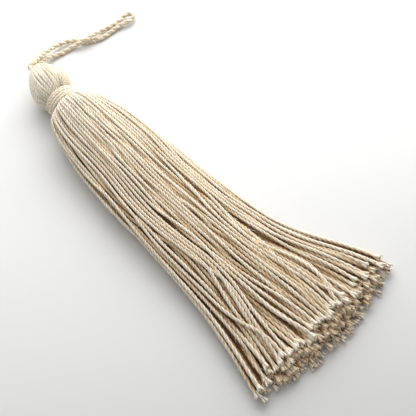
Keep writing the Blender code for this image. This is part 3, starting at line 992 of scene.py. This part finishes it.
def loop(material):
    """The hanging loop: two plies twisted round each other."""
    route = np.array(LOOP_ROUTE)
    route = np.concatenate([[route[0] + INTO_HEAD], route, [route[-1] + LAST_INTO_HEAD]])
    centre, length = evenly(route, 0.25)
    side, up, _ = directions(centre)
    angle = -FULL_TURN * length / CORD_PITCH
    strands = Strands()
    for ply in (0, math.pi):
        offset = np.cos(angle + ply)[:, None] * side + np.sin(angle + ply)[:, None] * up
        tone = CORD_TONE + CORD_TONES * math.cos(ply)
        path = centre + CORD_OFFSET * offset
        strands.tube(path, CORD_STRAND, 10, 2, CORD_FASTER * angle, CORD_GROOVE, tone)
    made = strands.build("hanging_cord", material, "cotton_cord")
    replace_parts(made, "hanging_loop")


# -------- materials


def add_node(tree, kind, values=None, sources=None):
    """A new node, with values for some of its inputs and sockets linked to others."""
    node = tree.nodes.new(kind)
    for key, value in (values or {}).items():
        node.inputs[key].default_value = value
    for key, source in (sources or {}).items():
        tree.links.new(source, node.inputs[key])
    return node


def material_with(name, surface):
    """A new material, its node tree, and its shader with the values of the surface."""
    made = bpy.data.materials.new(name)
    made.use_nodes = True
    shader = made.node_tree.nodes["Principled BSDF"]
    for title, value in surface.items():
        shader.inputs[title].default_value = value
    return made, made.node_tree, shader


def colour_ramp(tree, stops, source):
    """The colour among the stops, each a place and a colour, at the place that the source socket gives."""
    node = add_node(tree, "ShaderNodeValToRGB", None, {"Fac": source})
    for position, _ in stops[1:-1]:
        node.color_ramp.elements.new(position)
    for element, (position, colour) in zip(node.color_ramp.elements, stops):
        element.position = position
        element.color = (*colour, 1)
    return node.outputs["Color"]


def cotton(name, light, dark):
    """Undyed cotton: slight changes of tone from yarn to yarn, painted shade in grooves and where yarns lie
    shut in, and fine fibres.
    """
    made, tree, shader = material_with(name, COTTON_SURFACE)

    def attribute(title, output="Fac"):
        node = add_node(tree, "ShaderNodeAttribute")
        node.attribute_name = title
        return node.outputs[output]

    wind = attribute("wind", "Vector")
    stretch = add_node(tree, "ShaderNodeVectorMath", {1: STRETCHED}, {0: wind})
    stretch.operation = "MULTIPLY"
    stretched = stretch.outputs["Vector"]
    fibres = add_node(tree, "ShaderNodeTexNoise", FIBRE_NOISE, {"Vector": stretched}).outputs["Fac"]
    spots = add_node(tree, "ShaderNodeTexNoise", SPOT_NOISE, {"Vector": wind}).outputs["Fac"]

    # What darkens the yarn, added up from SHADE_FROM: fibres, spots and tone are its own, the grooves' part
    # is painted shade.
    shade = None
    for source, factor in zip((fibres, spots, attribute("tone"), attribute("groove")), SHADES):
        node = add_node(tree, "ShaderNodeMath", {1: factor}, {0: source})
        node.operation = "MULTIPLY_ADD"
        if shade:
            tree.links.new(shade, node.inputs[2])
        else:
            node.inputs[2].default_value = SHADE_FROM
        shade = node.outputs["Value"]
    colour = colour_ramp(tree, ((0.0, light), (1.0, dark)), shade)
    # Painted shade: darker and browner where the yarn is shut in by others or turned inward.
    inside = colour_ramp(tree, PAINTED_DEPTH_SHADE, attribute("deep"))
    shaded = tree.nodes.new("ShaderNodeMix")
    shaded.data_type = "RGBA"
    shaded.blend_type = "MULTIPLY"
    shaded.inputs["Factor"].default_value = 1.0
    tree.links.new(colour, shaded.inputs["A"])
    tree.links.new(inside, shaded.inputs["B"])
    tree.links.new(shaded.outputs["Result"], shader.inputs["Base Color"])
    bump = add_node(tree, "ShaderNodeBump", FIBRE_BUMP, {"Height": fibres})
    tree.links.new(bump.outputs["Normal"], shader.inputs["Normal"])
    return made


# -------- camera, floor and light


def camera():
    """Looks down on the tassel from beside its cut ends, along its length."""
    data = bpy.data.cameras.new("camera")
    data.angle = math.radians(CAMERA_LENS)
    data.clip_start = CAMERA_NEAREST
    obj = linked("camera", data)
    obj.location = in_frame(CAMERA_PLACE)
    obj.rotation_euler = (math.radians(90 - CAMERA_DOWN), 0, math.radians(CAMERA_HEADING))
    bpy.context.scene.camera = obj


def floor():
    """The backdrop: a matt surface with painted shade, that gets darker with the distance from the window.
    """
    mesh = bpy.data.meshes.new("floor")
    corners = [(a * FLOOR_SIZE, b * FLOOR_SIZE, 0) for a, b in ((-1, -1), (1, -1), (1, 1), (-1, 1))]
    mesh.from_pydata(corners, [], [(0, 1, 2, 3)])
    made, tree, shader = material_with("floor", FLOOR_SURFACE)
    place = add_node(tree, "ShaderNodeTexCoord").outputs["Object"]
    along = add_node(tree, "ShaderNodeVectorMath", {1: FLOOR_SHADE_FADES}, {0: place})
    along.operation = "DOT_PRODUCT"
    ahead = add_node(tree, "ShaderNodeMath", {1: FLOOR_AT_ORIGIN}, {0: along.outputs["Value"]})
    stops = [(position, (grey, grey, FLOOR_BLUE * grey)) for position, grey in FLOOR_SHADE_TONES]
    tree.links.new(colour_ramp(tree, stops, ahead.outputs["Value"]), shader.inputs["Base Color"])
    mesh.materials.append(made)
    linked("floor", mesh)


def lights():
    """A window and a softer light above, both square, and even light from all round."""
    for name, place, aim, size, power in SOFTBOXES:
        data = bpy.data.lights.new(name, "AREA")
        data.shape = "SQUARE"
        data.size = size
        data.energy = power
        obj = linked(name, data)
        obj.location = place
        obj.visible_camera = False
        obj.rotation_euler = (Vector(aim) - Vector(place)).to_track_quat("-Z", "Y").to_euler()
    world = bpy.data.worlds.new("world")
    world.use_nodes = True
    background = world.node_tree.nodes["Background"]
    background.inputs["Color"].default_value = (1.0, 1.0, 1.0, 1)
    background.inputs["Strength"].default_value = SKY
    bpy.context.scene.world = world
    bpy.context.scene.view_settings.view_transform = "Standard"


def main():
    camera()
    floor()
    lights()
    yarn = cotton("cotton_yarn", *YARN_COLOURS)
    cord = cotton("cotton_cord", *CORD_COLOURS)
    loop(cord)
    binding(yarn)
    head(yarn)
    skirt(yarn)


main()
